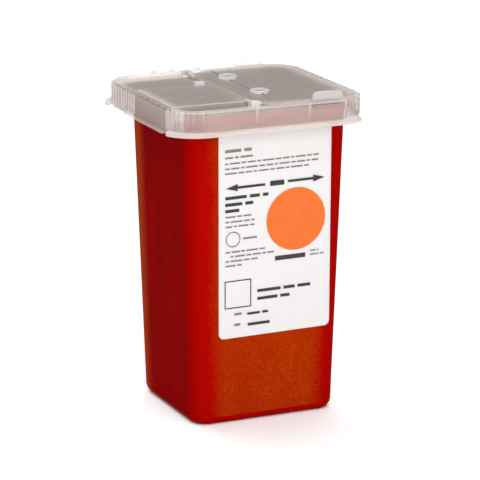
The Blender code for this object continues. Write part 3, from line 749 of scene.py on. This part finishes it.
# %% Grey print
GREY_ROWS = ((-20.7, -4.5, 133.2, 2.0, 4), (-20.7, -6.5, 130.0, 1.2, 0), (-20.7, 27.1, 127.2, 1.0, 1),
             (-20.7, 26.8, 124.8, 1.0, 3), (-20.7, 22.1, 122.5, 1.0, 6), (-20.5, -6.9, 101.7, 1.0, 2),
             (-20.5, -5.6, 99.3, 1.0, 5), (-20.5, -4.4, 97.0, 1.0, 0), (-11.6, -2.6, 90.7, 1.2, 6),
             (-20.5, 0.0, 84.7, 1.0, 3), (-18.0, 4.4, 82.5, 1.0, 1), (-20.5, -2.9, 80.3, 1.0, 5),
             (-20.5, -12.2, 78.1, 1.0, 2), (23.0, 27.4, 80.7, 0.85, 0), (23.0, 30.4, 78.8, 0.85, 2),
             (-16.0, -12.1, 54.2, 1.6, 3), (-16.0, -12.1, 49.0, 1.6, 5))
shape = bmesh.new()
rows_of_bars(shape, GREY_ROWS)
add_ink(shape, "label_grey_print", grey_ink)

# %% Orange disc
DISC_X, DISC_Z = 15.55, 97.2
DISC_RADIUS = 15.15 * MM
shape = bmesh.new()
bmesh.ops.create_circle(shape, cap_ends=True, segments=96, radius=DISC_RADIUS,
                        matrix=on_label(DISC_X, DISC_Z))
add_ink(shape, "label_orange_disc", orange_ink)

# %% [markdown]
# ## Floor, light and camera
# The container stands on a plain pale floor under soft light from big panels, so that the plastic
# shows its colour and only soft reflections. Lamps alone would leave the far floor grey, so the floor
# itself glows a little. The camera was fitted to the edges of the box in a picture 480 pixels wide,
# so its focal length and its centre are given in pixels.

# %% Floor
FLOOR_HALF = 3.0
SWEEP_START, SWEEP_END = 0.4, 1.2
FOOT_STRAIGHT = (27.7 * MM, 25.1 * MM)
DARK_START, DARK_END = 5.0 * MM, 10.0 * MM
floor_paint, tree, shader = new_material("studio_floor_matt")
shader.inputs["Base Color"].default_value = linear("#FBFBFB")
shader.inputs["Roughness"].default_value = 0.9
shader.inputs["Emission Color"].default_value = linear("#FFFFFF")
place = add_node(tree, "ShaderNodeTexCoord")
reach = add_node(tree, "ShaderNodeVectorMath", {0: place.outputs["Object"]}, operation='LENGTH')
# The floor glows more and more from 0.4 m outwards, so that it stays pale on every side
sweep = add_node(tree, "ShaderNodeMapRange",
                 {"Value": reach.outputs["Value"], "From Min": SWEEP_START, "From Max": SWEEP_END,
                  "To Min": 0.18, "To Max": 0.6}, interpolation_type='SMOOTHSTEP')
# Under the foot of the box it doesn't glow, so that the box keeps a dark line where it stands
beside = distance_past(tree, place.outputs["Object"], (WALL_SHIFT, 0.0, 0.0),
                       (*FOOT_STRAIGHT, ANY_HEIGHT))
free = add_node(tree, "ShaderNodeMapRange",
                {"Value": beside, "From Min": DARK_START, "From Max": DARK_END},
                interpolation_type='SMOOTHSTEP')
glow = add_node(tree, "ShaderNodeMath",
                {0: sweep.outputs["Result"], 1: free.outputs["Result"]}, operation='MULTIPLY')
tree.links.new(glow.outputs["Value"], shader.inputs["Emission Strength"])
shape = bmesh.new()
bmesh.ops.create_grid(shape, x_segments=1, y_segments=1, size=FLOOR_HALF)
mesh = bpy.data.meshes.new("studio_floor")
shape.to_mesh(mesh)
shape.free()
mesh.materials.append(floor_paint)
floor = bpy.data.objects.new("studio_floor", mesh)
bpy.context.scene.collection.objects.link(floor)
print("floor", [round(size, 2) for size in floor.dimensions], "m")

# %% Light
world = bpy.data.worlds.new("studio_surround")
world.use_nodes = True
world.node_tree.nodes["Background"].inputs["Color"].default_value = (1.0, 1.0, 1.0, 1.0)
world.node_tree.nodes["Background"].inputs["Strength"].default_value = 0.13
bpy.context.scene.world = world
bpy.context.scene.view_settings.view_transform = 'Standard'


def soft_panel(name, place, aim, size, power):
    """A square lamp panel at a place, turned to its aim."""
    lamp = bpy.data.lights.new(name, 'AREA')
    lamp.shape = 'SQUARE'
    lamp.size = size
    lamp.energy = power
    holder = bpy.data.objects.new(name, lamp)
    holder.location = place
    holder.rotation_euler = (Vector(aim) - Vector(place)).to_track_quat('-Z', 'Y').to_euler()
    bpy.context.scene.collection.objects.link(holder)
    print(name, size, "m wide,", power, "W")


BOX_MIDDLE = (0.0, 0.0, 0.08)
soft_panel("key_panel", (-0.36, -0.94, 0.60), BOX_MIDDLE, 0.5, 6.8)
soft_panel("front_top_panel", (0.1, -0.6, 1.1), BOX_MIDDLE, 0.5, 4.0)
soft_panel("back_panel", (0.0, 1.1, 1.6), (0.0, 0.7, 0.0), 2.0, 36.0)

# %% Camera
PHOTO_WIDTH = 480
FOCAL_PIXELS = 2744.7
CENTRE_X, CENTRE_Y = 237.43, 238.72
AZIMUTH, ELEVATION = math.radians(-24.12), math.radians(14.82)
DISTANCE = 1.3153
AIM = Vector((WALL_SHIFT, 0.0, 0.080))
away = Vector((math.sin(AZIMUTH) * math.cos(ELEVATION), -math.cos(AZIMUTH) * math.cos(ELEVATION),
               math.sin(ELEVATION)))
lens = bpy.data.cameras.new("portrait_camera")
lens.sensor_width = 36.0
lens.lens = FOCAL_PIXELS * lens.sensor_width / PHOTO_WIDTH
lens.shift_x = (PHOTO_WIDTH / 2 - CENTRE_X) / PHOTO_WIDTH
lens.shift_y = (CENTRE_Y - PHOTO_WIDTH / 2) / PHOTO_WIDTH
camera = bpy.data.objects.new("portrait_camera", lens)
camera.location = AIM + away * DISTANCE
camera.rotation_euler = away.to_track_quat('Z', 'Y').to_euler()
bpy.context.scene.collection.objects.link(camera)
bpy.context.scene.camera = camera
print("camera", [round(value, 3) for value in camera.location], "lens", round(lens.lens, 1), "mm")
